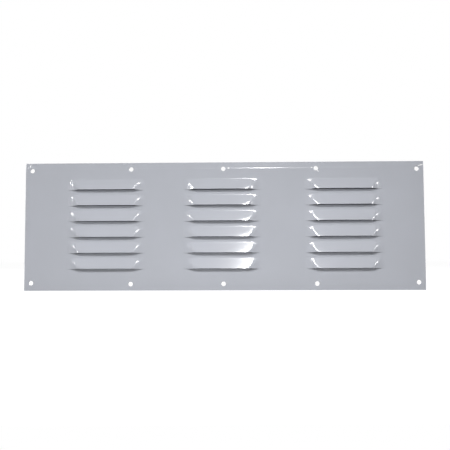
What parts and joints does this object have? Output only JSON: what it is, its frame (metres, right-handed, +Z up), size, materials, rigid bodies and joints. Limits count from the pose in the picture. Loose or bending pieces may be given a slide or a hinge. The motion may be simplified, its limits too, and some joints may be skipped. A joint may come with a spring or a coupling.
{
  "type": "ventilation grille",
  "caption": "Flat rectangular ventilation grille of gloss-painted sheet steel, with columns of pressed louvres that open downwards and screw holes along both long edges.",
  "frame": {"origin": "middle of the fixing holes, on the plate's back face", "axes": "+Z up as mounted on a wall, so the louvres open towards -Z; +Y into the wall, so the front faces -Y; +X along the plate's long side"},
  "size_m": [0.355, 0.0045, 0.114],
  "materials": {
    "grey_gloss_paint": "gloss"
  },
  "bodies": {
    "root": {"louvre_plate": "grey_gloss_paint"}
  },
  "joints": []
}
